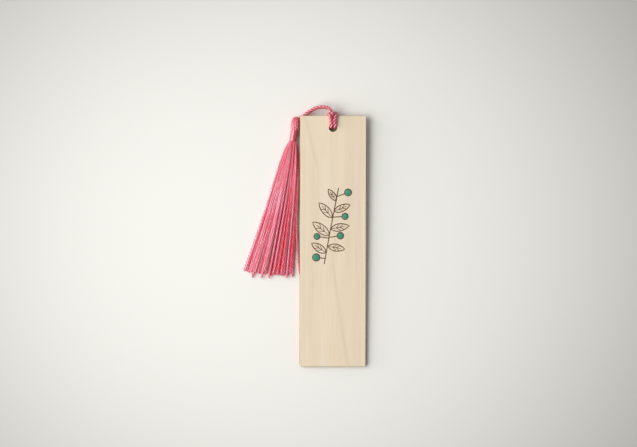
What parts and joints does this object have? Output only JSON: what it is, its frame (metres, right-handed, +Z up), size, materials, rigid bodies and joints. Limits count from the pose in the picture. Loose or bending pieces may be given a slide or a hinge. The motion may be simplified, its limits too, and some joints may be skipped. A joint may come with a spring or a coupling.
{
  "type": "bookmark",
  "caption": "Flat wooden bookmark with a hole near its top edge, a cord hitched through it and over the edge, and a fanned floss tassel that marks the page.",
  "frame": {"origin": "on the table under the middle of the board's footprint", "axes": "+X to the right across the board, +Y to the end with the hole, +Z up from the table"},
  "size_m": [0.075, 0.1586, 0.0082],
  "materials": {
    "wood_face": "smooth sanded pale veneer",
    "wood_core": "laser-browned cut edge",
    "cord": "twisted floss cord",
    "floss": "twisted floss strands",
    "binding_thread": "glossy wound thread"
  },
  "bodies": {
    "board": {"front_ply": "wood_face", "core_ply": "wood_core", "back_ply": "wood_face", "hitch_loop": "cord"},
    "cord": {"upper_leg": "cord", "lower_leg": "cord"},
    "tassel": {"head_strands": "floss", "end_knot": "cord", "neck_binding": "binding_thread"},
    "skirt": {"skirt_strands": "floss"}
  },
  "joints": [
    {"name": "cord_swing", "type": "hinge", "parent": "board", "child": "cord", "pos_m": [0, 0.07658, 0.00596], "axis": [0, 0, -1], "range_deg": [0, 120]},
    {"name": "tassel_swing", "type": "hinge", "parent": "cord", "child": "tassel", "pos_m": [-0.0233, 0.0725, 0.00285], "axis": [0, 0, -1], "range_deg": [0, 100]},
    {"name": "skirt_lift", "type": "hinge", "parent": "tassel", "child": "skirt", "pos_m": [-0.02452, 0.0585, 0.00285], "axis": [-0.9962, 0.0872, 0], "range_deg": [0, 70]}
  ]
}
